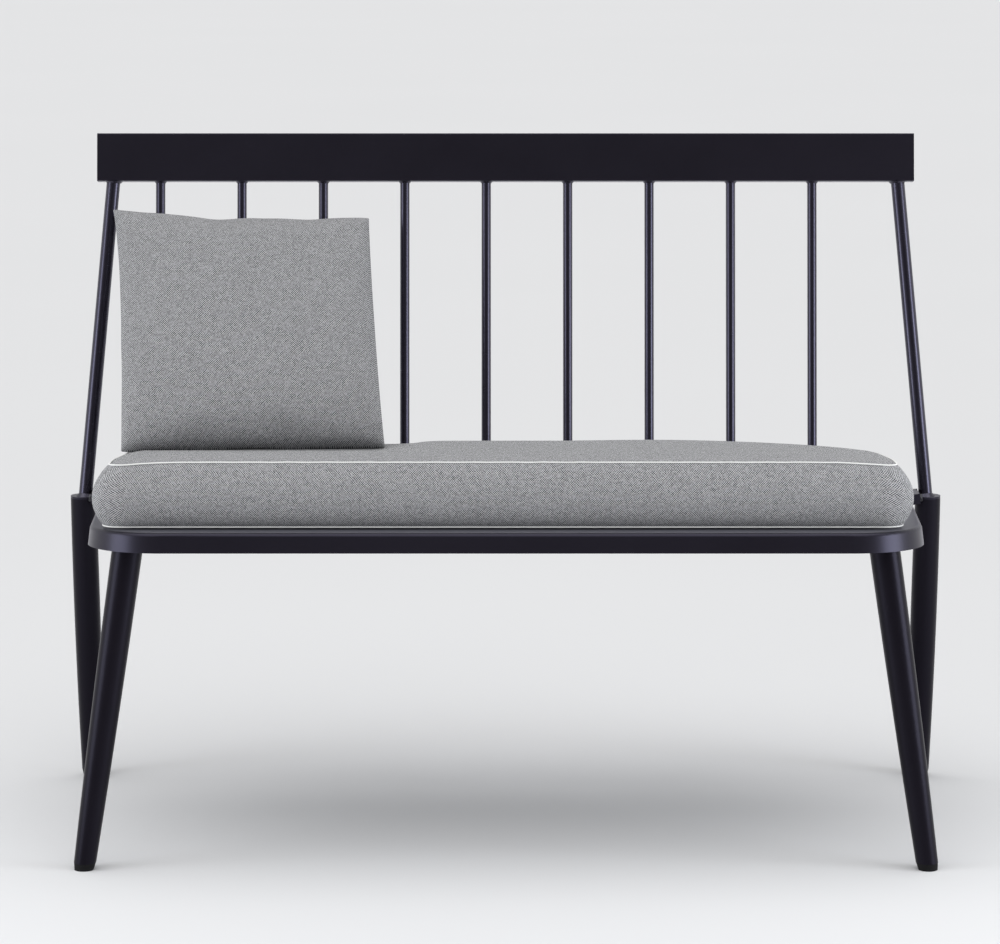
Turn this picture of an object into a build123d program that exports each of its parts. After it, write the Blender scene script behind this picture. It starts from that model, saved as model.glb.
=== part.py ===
from build123d import *

import math
import os

# Entryway bench: a black steel spindle-back bench with a loose box cushion and a throw pillow.
# Millimetres and degrees. +Z is up and the sitter faces -Y. Left and right are as seen by
# someone who stands in front of the bench and looks at it, so right is +X.
# The bench is drawn with y = 0 at the pan's front edge and the floor at z = 0, and is moved at
# the end so that its origin is on the floor at the centre of its footprint.

os.makedirs("parts", exist_ok=True)

# ------------------------------------------------------------------ driving dimensions
# Seat pan: a pressed steel tray, open underneath, that falls towards the back
PAN_FRONT_HEIGHT = 430.0      # top of the pan at its front edge, above the floor
PAN_DEPTH = 464.0
PAN_FRONT_WIDTH = 1049.0
PAN_REAR_WIDTH = 1090.5
PAN_TILT = 2.6                # fall towards the back
PAN_SHEET = 2.0
PAN_SKIRT = 25.0              # height of the turned-down rim
PAN_FLARE = 7.0               # lean of the rim, outwards going down
PAN_EDGE_RADIUS = 5.0
PAN_FRONT_CORNER_RADIUS = 95.0
PAN_REAR_CORNER_RADIUS = 36.0

# Front legs: tapered tubes with a slight belly, splayed outwards and forwards
FRONT_LEG_INSET_X = 49.07     # from the pan's side to the leg's axis, at the leg's top
FRONT_LEG_INSET_Y = 48.0      # from the pan's front to the leg's axis, at the leg's top
FRONT_LEG_SPLAY_X = 56.0      # how far the foot stands out sideways
FRONT_LEG_SPLAY_Y = 56.0      # how far the foot stands out forwards
FRONT_LEG_TOP_DIAMETER = 38.8
FRONT_LEG_MID_DIAMETER = 35.3
FRONT_LEG_FOOT_DIAMETER = 27.6

# Rear legs: tapered tubes that stand outside the pan and rake backwards
REAR_LEG_GAP = 12.5           # between the pan's side and the leg, at the leg's top
REAR_LEG_DROP = 8.43          # from the pan's top face down to the leg's top
REAR_LEG_INSET_Y = 22.0       # from the pan's back edge to the leg's axis, at the leg's top
REAR_LEG_RAKE = 50.0          # how far the foot stands behind the leg's top
REAR_LEG_LEAN = 1.4           # how far the foot stands inside the leg's top
REAR_LEG_TOP_DIAMETER = 34.2
REAR_LEG_MID_DIAMETER = 35.2
REAR_LEG_FOOT_DIAMETER = 28.8
REAR_LEG_CAP = 3.0            # thickness of the plate that closes the leg and holds the post

LEG_WALL = 2.0
GLIDE_HEIGHT = 9.0
GLIDE_PLUG_DEPTH = 14.0
GLIDE_PLUG_CLEARANCE = 0.15
GLIDE_SOLE_STEP = 1.6         # how much smaller the glide's sole is, per side

# Back: crest rail, two posts and a row of rods, all in one reclined plane
BACK_RECLINE = 10.5
RAIL_OVERHANG = 21.5          # from the post's axis to the rail's end
RAIL_HEIGHT = 65.0
RAIL_THICKNESS = 20.0
RAIL_WALL = 2.0
RAIL_EDGE_RADIUS = 1.6
RAIL_RISE = 427.0             # along the recline, from the rear legs' tops to the rail
RAIL_CAP_THICKNESS = 2.0
POST_DIAMETER = 18.4
POST_FOOT_INSET = 3.0         # the post stands a little inside the leg's centre
POST_LEAN = 37.4              # how far the post's top leans inwards
SPINDLE_DIAMETER = 12.7
SPINDLE_COUNT = 9
SPINDLE_LEFT_MARGIN = 64.1    # from the left post's top to the first rod
SPINDLE_RIGHT_MARGIN = 116.7  # from the last rod to the right post's top: the row is off centre

# Fillet welds round the rods and the front legs' tops
WELD_LEG = 2.4
WELD_TOE = 0.3                # thickness that is left at the weld's thin end

# Under the pan
STIFFENER_WIDTH = 30.0
STIFFENER_HEIGHT = 18.0
STIFFENER_WALL = 1.5
STIFFENER_SPACING = 300.0
STIFFENER_FRONT_GAP = 6.0     # between the tube's end and the pan's front rim
STRIP_WIDTH = 30.0
STRIP_THICKNESS = 4.0
STRIP_END_GAP = 39.3          # from the pan's side to the strip's end

# Front leg mountings: a pressed box welded under the pan, and a plate bolted up to it
CORNER_BOX_WALL = 3.0
LEG_PLATE_THICKNESS = 4.0
LEG_PLATE_MARGIN = 33.0       # from the leg's axis to the plate's outer edges
LEG_PLATE_OUTER_RADIUS = 60.0
LEG_PLATE_INNER_RADIUS = 12.0
LEG_BOLT_REACH = 43.0         # from the leg's axis to the far bolts
LEG_BOLT_BACKSET = 15.0       # how far the near bolts stand towards the corner
LEG_BOLT_EDGE = 14.0          # from the far bolts to the plate's inner edges

# Rear brackets: flat bars between the pan's sides and the rear legs
BRACKET_DROP = 2.5            # from the pan's top to the bracket's top
BRACKET_HEIGHT = 14.0
BRACKET_FRONT_REACH = 44.0    # in front of the leg's axis
BRACKET_REAR_REACH = 14.0     # behind the leg's axis
BRACKET_BITE = 3.0            # how deep the bar reaches round the leg
BRACKET_BOLT_SETBACK = 11.0   # from the bar's front end to its bolt

# Fasteners
BOLT_DIAMETER = 6.0
BOLT_HEAD_DIAMETER = 10.5
BOLT_HEAD_HEIGHT = 3.3
BOLT_HEAD_ROUND = 1.4
BOLT_SOCKET = 4.0             # across the flats
BOLT_SOCKET_DEPTH = 2.0
BOLT_END = 2.0                # thread that stands out of the nut
HOLE_CLEARANCE = 0.3          # radial, in plain holes
THREAD_CLEARANCE = 0.05       # radial, in nuts
NUT_ACROSS_FLATS = 10.0
NUT_HEIGHT = 5.0

# Loose box cushion: outer sizes of its cover
CUSHION_SETBACK = 17.0        # from the pan's front edge
CUSHION_SIDE_MARGIN = 8.21    # from the pan's sides, at the cushion's front
CUSHION_REAR_MARGIN = 8.6     # from the rods
CUSHION_CENTRE_X = -4.0       # it lies a little to the left
CUSHION_FRONT_THICKNESS = 88.0
CUSHION_REAR_THICKNESS = 67.0
CUSHION_CORNER_RADIUS = 58.0
CUSHION_EDGE_RADIUS = 9.0
PIPING_DIAMETER = 3.4
PIPING_GAP = 0.3              # between the piping and the cover it is sewn to
PIPING_TOP_ANGLE = 45.0       # where the piping lies round the cushion's top edge, from its side
PIPING_BOTTOM_ANGLE = 22.0    # and round its bottom edge

# Throw pillow: outer sizes of its cover
PILLOW_WIDTH = 356.0
PILLOW_HEIGHT = 345.0
PILLOW_THICKNESS = 104.0
PILLOW_OVERHANG = 4.0         # how far it hangs out over the cushion's left end
PILLOW_LEAN = 33.0            # from upright
PILLOW_CORNER_RADIUS = 16.0
PILLOW_FULLNESS = 1.6         # exponent of its rounded section: higher is fuller
PILLOW_LAYERS = 6             # sections from its edge to its middle
PILLOW_CROWN_STOP = 0.985     # share of the half thickness where the flat crown starts
PILLOW_SEAM_ALLOWANCE = 6.0   # how far the filling stays inside the seam

COVER_THICKNESS = 1.5
FILLING_GAP = 0.3             # between a cover and its filling
SOFT_GAP = 0.3                # between a soft piece and what it rests on

# ------------------------------------------------------------------ reference planes and points
TILT = math.radians(PAN_TILT)
RECLINE = math.radians(BACK_RECLINE)



def on(base, plane):
    """A plane that is given in another plane's coordinates."""
    return Plane(base * plane)


# The pan's top face: x to the right, y backwards along the pan, z out of the pan
PAN_PLANE = Plane(
    origin=(0, 0, PAN_FRONT_HEIGHT),
    x_dir=(1, 0, 0),
    z_dir=(0, math.sin(TILT), math.cos(TILT)),
)
PAN_UNDERSIDE = -PAN_SHEET
LEG_PLATE_BOTTOM = -PAN_SKIRT
LEG_PLATE_TOP = LEG_PLATE_BOTTOM + LEG_PLATE_THICKNESS
LEG_PLATE_SIZE = LEG_PLATE_MARGIN + LEG_BOLT_REACH + LEG_BOLT_EDGE
REAR_LEG_TOP_Y = PAN_DEPTH - REAR_LEG_INSET_Y
REAR_LEG_TOP_HEIGHT = PAN_FRONT_HEIGHT - REAR_LEG_TOP_Y * math.tan(TILT) - REAR_LEG_DROP

# The back: x to the right, y up along the recline, z towards the sitter
BACK_PLANE = Plane(
    origin=(0, REAR_LEG_TOP_Y, REAR_LEG_TOP_HEIGHT),
    x_dir=(1, 0, 0),
    z_dir=(0, -math.cos(RECLINE), math.sin(RECLINE)),
)
RAIL_UNDERSIDE = Plane(
    origin=BACK_PLANE.from_local_coords((0, RAIL_RISE, 0)),
    x_dir=(1, 0, 0),
    z_dir=BACK_PLANE.y_dir,
)


def pan_half_width(y):
    """Half the pan's width at y behind its front edge."""
    return (PAN_FRONT_WIDTH + (PAN_REAR_WIDTH - PAN_FRONT_WIDTH) * y / PAN_DEPTH) / 2


# Where the back's plane meets the pan's top face, along the back and along the pan
SPINDLE_FOOT = (PAN_FRONT_HEIGHT - REAR_LEG_TOP_HEIGHT - REAR_LEG_TOP_Y * math.tan(TILT)) / (
    math.cos(RECLINE) + math.sin(RECLINE) * math.tan(TILT)
)
SPINDLE_LINE_Y = PAN_PLANE.to_local_coords(BACK_PLANE.from_local_coords((0, SPINDLE_FOOT, 0))).Y
STRIP_LENGTH = 2 * (pan_half_width(SPINDLE_LINE_Y) - STRIP_END_GAP)

FRONT_LEG_X = pan_half_width(FRONT_LEG_INSET_Y) - FRONT_LEG_INSET_X
FRONT_LEG_TOP = PAN_PLANE.from_local_coords((FRONT_LEG_X, FRONT_LEG_INSET_Y, LEG_PLATE_BOTTOM))
FRONT_LEG_FOOT = Vector(FRONT_LEG_TOP.X + FRONT_LEG_SPLAY_X, FRONT_LEG_TOP.Y - FRONT_LEG_SPLAY_Y, 0)

REAR_LEG_X = pan_half_width(REAR_LEG_TOP_Y) + REAR_LEG_GAP + REAR_LEG_TOP_DIAMETER / 2
REAR_LEG_TOP = Vector(REAR_LEG_X, REAR_LEG_TOP_Y, REAR_LEG_TOP_HEIGHT)
REAR_LEG_FOOT = Vector(REAR_LEG_X - REAR_LEG_LEAN, REAR_LEG_TOP_Y + REAR_LEG_RAKE, 0)

POST_TOP_X = REAR_LEG_X - POST_FOOT_INSET - POST_LEAN
POST_FOOT = BACK_PLANE.from_local_coords((REAR_LEG_X - POST_FOOT_INSET, 0, 0))
POST_TOP = BACK_PLANE.from_local_coords((POST_TOP_X, RAIL_RISE, 0))
RAIL_LENGTH = 2 * (POST_TOP_X + RAIL_OVERHANG)

FIRST_SPINDLE_X = SPINDLE_LEFT_MARGIN - POST_TOP_X
LAST_SPINDLE_X = POST_TOP_X - SPINDLE_RIGHT_MARGIN
SPINDLE_PITCH = (LAST_SPINDLE_X - FIRST_SPINDLE_X) / (SPINDLE_COUNT - 1)
SPINDLE_XS = [FIRST_SPINDLE_X + i * SPINDLE_PITCH for i in range(SPINDLE_COUNT)]

CUSHION_WIDTH = 2 * (pan_half_width(CUSHION_SETBACK) - CUSHION_SIDE_MARGIN)
CUSHION_DEPTH = SPINDLE_LINE_Y - SPINDLE_DIAMETER / 2 - CUSHION_REAR_MARGIN - CUSHION_SETBACK
PILLOW_CENTRE_X = CUSHION_CENTRE_X - CUSHION_WIDTH / 2 - PILLOW_OVERHANG + PILLOW_WIDTH / 2

# The pan's right side: x backwards along the side, y up the rim, z out of the rim
SIDE_ANGLE = math.atan2((PAN_REAR_WIDTH - PAN_FRONT_WIDTH) / 2, PAN_DEPTH)
FLARE = math.radians(PAN_FLARE)
RIM_NORMAL = (
    math.cos(SIDE_ANGLE) * math.cos(FLARE),
    -math.sin(SIDE_ANGLE) * math.cos(FLARE),
    math.sin(FLARE),
)
SIDE_PLANE = on(
    PAN_PLANE,
    Plane(
        origin=(pan_half_width(REAR_LEG_TOP_Y), REAR_LEG_TOP_Y, 0),
        x_dir=(math.sin(SIDE_ANGLE), math.cos(SIDE_ANGLE), 0),
        z_dir=RIM_NORMAL,
    ),
)

OVERRUN = 40.0                # how much longer a rod is drawn before it is cut to its faces


# ------------------------------------------------------------------ helpers
def above(shape, plane):
    """The part of a shape on the side that the plane's z axis points to."""
    return split(shape, bisect_by=plane, keep=Keep.TOP)


def below(shape, plane):
    """The part of a shape on the side away from the plane's z axis."""
    return split(shape, bisect_by=plane, keep=Keep.BOTTOM)


def between_heights(shape, low, high):
    """The part of a shape between two heights above the floor."""
    return below(above(shape, Plane.XY.offset(low)), Plane.XY.offset(high))


def rod(start, end, diameter):
    """A round rod through two points, longer than the distance between them."""
    axis = end - start
    plane = Plane(origin=start - axis.normalized() * OVERRUN, z_dir=axis)
    length = axis.length + 2 * OVERRUN
    return plane * Cylinder(diameter / 2, length, align=(Align.CENTER, Align.CENTER, Align.MIN))


def bellied_rod(foot, top, foot_diameter, mid_diameter, top_diameter, inset=0.0):
    """A round leg on the axis from foot to top, with an arc for its side, longer at both ends."""
    axis = top - foot
    radii = [diameter / 2 - inset for diameter in (foot_diameter, mid_diameter, top_diameter)]
    low = Vector(radii[0], 0)
    middle = Vector(radii[1], axis.length / 2)
    high = Vector(radii[2], axis.length)
    run = Vector(0, OVERRUN)
    outline = [
        Line((0, -OVERRUN), low - run),
        Line(low - run, low),
        ThreePointArc(low, middle, high),
        Line(high, high + run),
        Line(high + run, (0, axis.length + OVERRUN)),
        Line((0, axis.length + OVERRUN), (0, -OVERRUN)),
    ]
    return Plane(origin=foot, z_dir=axis) * revolve(Plane.XZ * make_face(outline), Axis.Z)


def weld_ring(centre, away, diameter, face, stock):
    """A fillet weld round a rod where it leaves a face; away points along the rod."""
    sunk = 2 * WELD_LEG
    base = diameter / 2 + WELD_TOE + WELD_LEG + sunk
    cone = Cone(
        base,
        diameter / 2 + WELD_TOE,
        WELD_LEG + sunk,
        align=(Align.CENTER, Align.CENTER, Align.MIN),
    )
    plane = Plane(origin=centre - away.normalized() * sunk, z_dir=away)
    return above(plane * cone, face) - stock


def bolt(plane, grip):
    """A button-head bolt: its head stands on the plane's face, its shank runs along z."""
    head = Cylinder(
        BOLT_HEAD_DIAMETER / 2,
        BOLT_HEAD_HEIGHT,
        align=(Align.CENTER, Align.CENTER, Align.MAX),
    )
    head = fillet(head.edges().sort_by(Axis.Z)[0], BOLT_HEAD_ROUND)
    socket = extrude(
        Pos(0, 0, -BOLT_HEAD_HEIGHT) * RegularPolygon(BOLT_SOCKET / 2, 6, major_radius=False),
        amount=BOLT_SOCKET_DEPTH,
    )
    shank = Cylinder(
        BOLT_DIAMETER / 2,
        grip + NUT_HEIGHT + BOLT_END,
        align=(Align.CENTER, Align.CENTER, Align.MIN),
    )
    return plane * (head + shank - socket)


def nut(plane):
    """A hexagon nut that stands on the plane's face."""
    blank = extrude(RegularPolygon(NUT_ACROSS_FLATS / 2, 6, major_radius=False), amount=NUT_HEIGHT)
    hole = Cylinder(BOLT_DIAMETER / 2 + THREAD_CLEARANCE, 3 * NUT_HEIGHT)
    return plane * (blank - hole)


def bolt_hole(plane, reach):
    """What a plain bolt hole removes, for reach each way from the plane."""
    return plane * Cylinder(BOLT_DIAMETER / 2 + HOLE_CLEARANCE, 2 * reach)


def group(solids):
    """Separate solids that share one node."""
    return Compound(children=[solid for shape in solids for solid in shape.solids()])


# ------------------------------------------------------------------ seat pan and what is under it
def pan_outline(inset):
    """The pan's plan shape, smaller by inset all round."""
    rear = PAN_DEPTH - inset
    front_half = pan_half_width(inset) - inset
    rear_half = pan_half_width(rear) - inset
    corners = Polygon(
        (-front_half, inset),
        (front_half, inset),
        (rear_half, rear),
        (-rear_half, rear),
        align=None,
    )
    front_corners = corners.vertices().group_by(Axis.Y)[0]
    outline = fillet(front_corners, PAN_FRONT_CORNER_RADIUS - inset)
    rear_corners = outline.vertices().group_by(Axis.Y)[-1]
    return fillet(rear_corners, PAN_REAR_CORNER_RADIUS - inset)


def pan_block(inset, top, bottom, edge_radius):
    """A flared block of the pan's shape between two heights on the pan's normal."""
    block = extrude(Pos(0, 0, top) * pan_outline(inset), amount=bottom - top, taper=-PAN_FLARE)
    rim = block.faces().sort_by(Axis.Z)[-1].edges()
    return PAN_PLANE * fillet(rim, edge_radius)


def seat_pan():
    """The tray: one sheet thick on top and, measured square to it, all round the leaning rim."""
    rim_inset = PAN_SHEET / math.cos(FLARE) - PAN_SHEET * math.tan(FLARE)
    tray = pan_block(0, 0, -PAN_SKIRT, PAN_EDGE_RADIUS)
    tray -= pan_block(rim_inset, PAN_UNDERSIDE, -PAN_SKIRT - PAN_SHEET, PAN_EDGE_RADIUS - PAN_SHEET)
    hole = bolt_hole(bracket_bolt_plane(0), PAN_SHEET * 2)
    return tray - hole - mirror(hole, about=Plane.YZ)


def stiffener(x):
    """A square tube across the pan's depth, welded under the sheet."""
    front = PAN_SHEET + STIFFENER_FRONT_GAP
    length = SPINDLE_LINE_Y - STRIP_WIDTH / 2 - front
    section = RectangleRounded(STIFFENER_WIDTH, STIFFENER_HEIGHT, STIFFENER_WALL * 1.5)
    section -= Rectangle(STIFFENER_WIDTH - 2 * STIFFENER_WALL, STIFFENER_HEIGHT - 2 * STIFFENER_WALL)
    end = Plane(
        origin=(x, front, PAN_UNDERSIDE - STIFFENER_HEIGHT / 2),
        x_dir=(1, 0, 0),
        z_dir=(0, 1, 0),
    )
    return PAN_PLANE * extrude(end * section, amount=length)


def spindle_strip():
    """The flat bar under the sheet that backs the rods' feet."""
    centre = Pos(0, SPINDLE_LINE_Y, PAN_UNDERSIDE - STRIP_THICKNESS / 2)
    return PAN_PLANE * (centre * Box(STRIP_LENGTH, STRIP_WIDTH, STRIP_THICKNESS))


# ------------------------------------------------------------------ front legs (right-hand one)
def leg_plate_outline(inset):
    """Plan shape of the right front leg's plate, smaller by inset all round."""
    outer_x = FRONT_LEG_X + LEG_PLATE_MARGIN - inset
    inner_x = FRONT_LEG_X + LEG_PLATE_MARGIN - LEG_PLATE_SIZE + inset
    front_y = FRONT_LEG_INSET_Y - LEG_PLATE_MARGIN + inset
    rear_y = FRONT_LEG_INSET_Y - LEG_PLATE_MARGIN + LEG_PLATE_SIZE - inset
    square = Polygon(
        (inner_x, front_y),
        (outer_x, front_y),
        (outer_x, rear_y),
        (inner_x, rear_y),
        align=None,
    )
    by_corner = square.vertices().sort_by_distance((outer_x, front_y))
    outline = fillet(by_corner[0], LEG_PLATE_OUTER_RADIUS - inset)
    others = [v for v in outline.vertices() if v.X < inner_x + 1 or v.Y > rear_y - 1]
    return fillet(others, LEG_PLATE_INNER_RADIUS - inset)


def leg_bolt_places():
    """Bolt positions on the right front leg's plate, on the pan's plane."""
    inward = FRONT_LEG_X - LEG_BOLT_REACH
    outward = FRONT_LEG_X + LEG_BOLT_BACKSET
    near = FRONT_LEG_INSET_Y - LEG_BOLT_BACKSET
    far = FRONT_LEG_INSET_Y + LEG_BOLT_REACH
    return [(inward, near), (inward, far), (outward, far)]


def leg_bolt_planes(height):
    """Planes at the bolts' places, at one height under the pan, that point upwards."""
    return [on(PAN_PLANE, Plane(origin=(x, y, height))) for x, y in leg_bolt_places()]


def front_leg_plate():
    plate = extrude(Pos(0, 0, LEG_PLATE_BOTTOM) * leg_plate_outline(0), amount=LEG_PLATE_THICKNESS)
    plate = PAN_PLANE * plate
    for plane in leg_bolt_planes(LEG_PLATE_BOTTOM):
        plate -= bolt_hole(plane, LEG_PLATE_THICKNESS * 2)
    return plate


def corner_box():
    """The pressed box under the pan's corner that the leg's plate is bolted to."""
    depth = PAN_UNDERSIDE - LEG_PLATE_TOP
    box = extrude(Pos(0, 0, LEG_PLATE_TOP) * leg_plate_outline(0), amount=depth)
    floor = LEG_PLATE_TOP + CORNER_BOX_WALL
    box -= extrude(Pos(0, 0, floor) * leg_plate_outline(CORNER_BOX_WALL), amount=depth)
    box = PAN_PLANE * box
    for plane in leg_bolt_planes(LEG_PLATE_TOP):
        box -= bolt_hole(plane, CORNER_BOX_WALL * 2)
    return box


def front_leg_blank(inset=0.0):
    return bellied_rod(
        FRONT_LEG_FOOT,
        FRONT_LEG_TOP,
        FRONT_LEG_FOOT_DIAMETER,
        FRONT_LEG_MID_DIAMETER,
        FRONT_LEG_TOP_DIAMETER,
        inset,
    )


def front_leg():
    """The tube, from its glide up to the plate's underside."""
    tube = front_leg_blank() - front_leg_blank(LEG_WALL)
    tube = above(tube, Plane.XY.offset(GLIDE_HEIGHT))
    return below(tube, PAN_PLANE.offset(LEG_PLATE_BOTTOM))


def front_leg_weld():
    """The fillet weld between the leg's top and the plate's underside."""
    axis = FRONT_LEG_FOOT - FRONT_LEG_TOP
    underside = PAN_PLANE.offset(LEG_PLATE_BOTTOM)
    face = Plane(origin=underside.origin, x_dir=(1, 0, 0), z_dir=-underside.z_dir)
    return weld_ring(FRONT_LEG_TOP, axis, FRONT_LEG_TOP_DIAMETER, face, front_leg_blank())


# ------------------------------------------------------------------ rear legs (right-hand one)
def rear_leg_blank(inset=0.0):
    return bellied_rod(
        REAR_LEG_FOOT,
        REAR_LEG_TOP,
        REAR_LEG_FOOT_DIAMETER,
        REAR_LEG_MID_DIAMETER,
        REAR_LEG_TOP_DIAMETER,
        inset,
    )


def rear_leg():
    """The tube, from its glide up to its cap."""
    tube = rear_leg_blank() - rear_leg_blank(LEG_WALL)
    return between_heights(tube, GLIDE_HEIGHT, REAR_LEG_TOP_HEIGHT - REAR_LEG_CAP)


def rear_leg_cap():
    """The plate that closes the leg's top and carries the post."""
    return between_heights(rear_leg_blank(), REAR_LEG_TOP_HEIGHT - REAR_LEG_CAP, REAR_LEG_TOP_HEIGHT)


def bracket_bolt_place():
    """Where the bracket's bolt stands on the side plane."""
    return BRACKET_BOLT_SETBACK - BRACKET_FRONT_REACH, -BRACKET_DROP - BRACKET_HEIGHT / 2


def bracket_bolt_plane(depth):
    """A plane at the bracket's bolt, at one distance from the rim, that points inwards."""
    x, y = bracket_bolt_place()
    outward = on(SIDE_PLANE, Plane(origin=(x, y, depth)))
    return Plane(origin=outward.origin, x_dir=outward.x_dir, z_dir=-outward.z_dir)


def rear_bracket():
    """The bar that lies flat on the pan's side and reaches out to the rear leg."""
    length = BRACKET_FRONT_REACH + BRACKET_REAR_REACH
    bar = Pos(-BRACKET_FRONT_REACH, -BRACKET_DROP, 0) * Box(
        length,
        BRACKET_HEIGHT,
        REAR_LEG_GAP + BRACKET_BITE,
        align=(Align.MIN, Align.MAX, Align.MIN),
    )
    return SIDE_PLANE * bar - rear_leg_blank() - bolt_hole(bracket_bolt_plane(0), 2 * REAR_LEG_GAP)


def rear_bracket_bolt():
    return bolt(bracket_bolt_plane(REAR_LEG_GAP + BRACKET_BITE), REAR_LEG_GAP + BRACKET_BITE + PAN_SHEET)


def rear_bracket_nut():
    return nut(bracket_bolt_plane(-PAN_SHEET))


# ------------------------------------------------------------------ glides
def glide(foot, top, foot_diameter, blank_inner):
    """A plastic foot: a sole under the tube's end and a plug that fills the tube."""
    axis = top - foot
    lean = axis * (GLIDE_HEIGHT / axis.Z)
    sole_radius = foot_diameter / 2 - GLIDE_SOLE_STEP
    low = Plane(origin=foot) * Circle(sole_radius)
    high = Plane(origin=foot + lean) * Circle(foot_diameter / 2)
    sole = loft([low, high], ruled=True)
    plug = between_heights(blank_inner, GLIDE_HEIGHT, GLIDE_HEIGHT + GLIDE_PLUG_DEPTH)
    return sole + plug


# ------------------------------------------------------------------ back
def rail_outline():
    """The crest rail's section, seen along the rail."""
    return RectangleRounded(RAIL_THICKNESS, RAIL_HEIGHT, RAIL_EDGE_RADIUS)


def rail_slice(section, start, length):
    """A length of the rail's section, from start to the right along the rail."""
    end = Plane(origin=(start, RAIL_RISE + RAIL_HEIGHT / 2, 0), x_dir=(0, 0, 1), z_dir=(1, 0, 0))
    return BACK_PLANE * extrude(end * section, amount=length)


def crest_rail():
    hollow = Rectangle(RAIL_THICKNESS - 2 * RAIL_WALL, RAIL_HEIGHT - 2 * RAIL_WALL)
    length = RAIL_LENGTH - 2 * RAIL_CAP_THICKNESS
    return rail_slice(rail_outline() - hollow, -length / 2, length)


def rail_end_cap():
    """The plate that closes the rail's right end."""
    return rail_slice(rail_outline(), RAIL_LENGTH / 2 - RAIL_CAP_THICKNESS, RAIL_CAP_THICKNESS)


def post_blank():
    return rod(POST_FOOT, POST_TOP, POST_DIAMETER)


def post():
    """The right post, from the rear leg's cap to the rail's underside."""
    return below(above(post_blank(), Plane.XY.offset(REAR_LEG_TOP_HEIGHT)), RAIL_UNDERSIDE)


def spindle_ends(x):
    foot = BACK_PLANE.from_local_coords((x, SPINDLE_FOOT, 0))
    top = BACK_PLANE.from_local_coords((x, RAIL_RISE, 0))
    return foot, top


def spindle(x):
    """A rod from the pan's top face to the rail's underside."""
    foot, top = spindle_ends(x)
    return below(above(rod(foot, top, SPINDLE_DIAMETER), PAN_PLANE), RAIL_UNDERSIDE)


def rail_welds():
    """The weld rings under the crest rail, at the rods and the posts."""
    face = Plane(origin=RAIL_UNDERSIDE.origin, x_dir=(1, 0, 0), z_dir=-RAIL_UNDERSIDE.z_dir)
    rings = []
    for x in SPINDLE_XS:
        foot, top = spindle_ends(x)
        stock = rod(foot, top, SPINDLE_DIAMETER)
        rings.append(weld_ring(top, foot - top, SPINDLE_DIAMETER, face, stock))
    ring = weld_ring(POST_TOP, POST_FOOT - POST_TOP, POST_DIAMETER, face, post_blank())
    return group(rings + [ring, mirror(ring, about=Plane.YZ)])


def pan_welds():
    """The weld rings at the rods' feet, on the pan."""
    rings = []
    for x in SPINDLE_XS:
        foot, top = spindle_ends(x)
        stock = rod(foot, top, SPINDLE_DIAMETER)
        rings.append(weld_ring(foot, top - foot, SPINDLE_DIAMETER, PAN_PLANE, stock))
    return group(rings)


def post_welds():
    """The weld rings at the posts' feet, on the rear legs' caps."""
    face = Plane.XY.offset(REAR_LEG_TOP_HEIGHT)
    ring = weld_ring(POST_FOOT, POST_TOP - POST_FOOT, POST_DIAMETER, face, post_blank())
    return group([ring, mirror(ring, about=Plane.YZ)])


# ------------------------------------------------------------------ soft pieces
CUSHION_SLOPE = math.degrees(
    math.atan((CUSHION_FRONT_THICKNESS - CUSHION_REAR_THICKNESS) / CUSHION_DEPTH)
)
CUSHION_FOOT = on(PAN_PLANE, Plane(origin=(CUSHION_CENTRE_X, CUSHION_SETBACK, SOFT_GAP)))
CUSHION_TOP = CUSHION_FOOT.offset(CUSHION_FRONT_THICKNESS).rotated((-CUSHION_SLOPE, 0, 0))


def cushion_block(inset):
    """The box cushion, smaller by inset on every side."""
    outline = RectangleRounded(
        CUSHION_WIDTH - 2 * inset,
        CUSHION_DEPTH - 2 * inset,
        CUSHION_CORNER_RADIUS - inset,
    )
    outline = Pos(0, CUSHION_DEPTH / 2, inset) * outline
    block = CUSHION_FOOT * extrude(outline, amount=2 * CUSHION_FRONT_THICKNESS)
    block = below(block, CUSHION_TOP.offset(-inset))
    by_height = block.faces().sort_by(Axis.Z)
    rims = by_height[0].edges() + by_height[-1].edges()
    return fillet(rims, CUSHION_EDGE_RADIUS - inset)


def piping_insets(angle):
    """How far a cord that hugs a rounded edge lies inside the side face and inside the end face."""
    reach = CUSHION_EDGE_RADIUS + PIPING_GAP + PIPING_DIAMETER / 2
    side = CUSHION_EDGE_RADIUS - reach * math.cos(math.radians(angle))
    end = CUSHION_EDGE_RADIUS - reach * math.sin(math.radians(angle))
    return side, end


def piping(plane, depth, inset):
    """A cord in a seam: a ring on the plane, smaller by inset than the cushion's outline."""
    outline = RectangleRounded(
        CUSHION_WIDTH - 2 * inset,
        depth - 2 * inset,
        CUSHION_CORNER_RADIUS - inset,
    )
    path = plane * (Pos(0, depth / 2) * outline).wire()
    return sweep((path ^ 0) * Circle(PIPING_DIAMETER / 2), path=path)


def top_piping():
    side, end = piping_insets(PIPING_TOP_ANGLE)
    depth = CUSHION_DEPTH / math.cos(math.radians(CUSHION_SLOPE))
    return piping(CUSHION_TOP.offset(-end), depth, side)


def bottom_piping():
    side, end = piping_insets(PIPING_BOTTOM_ANGLE)
    return piping(CUSHION_FOOT.offset(end), CUSHION_DEPTH, side)


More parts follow.
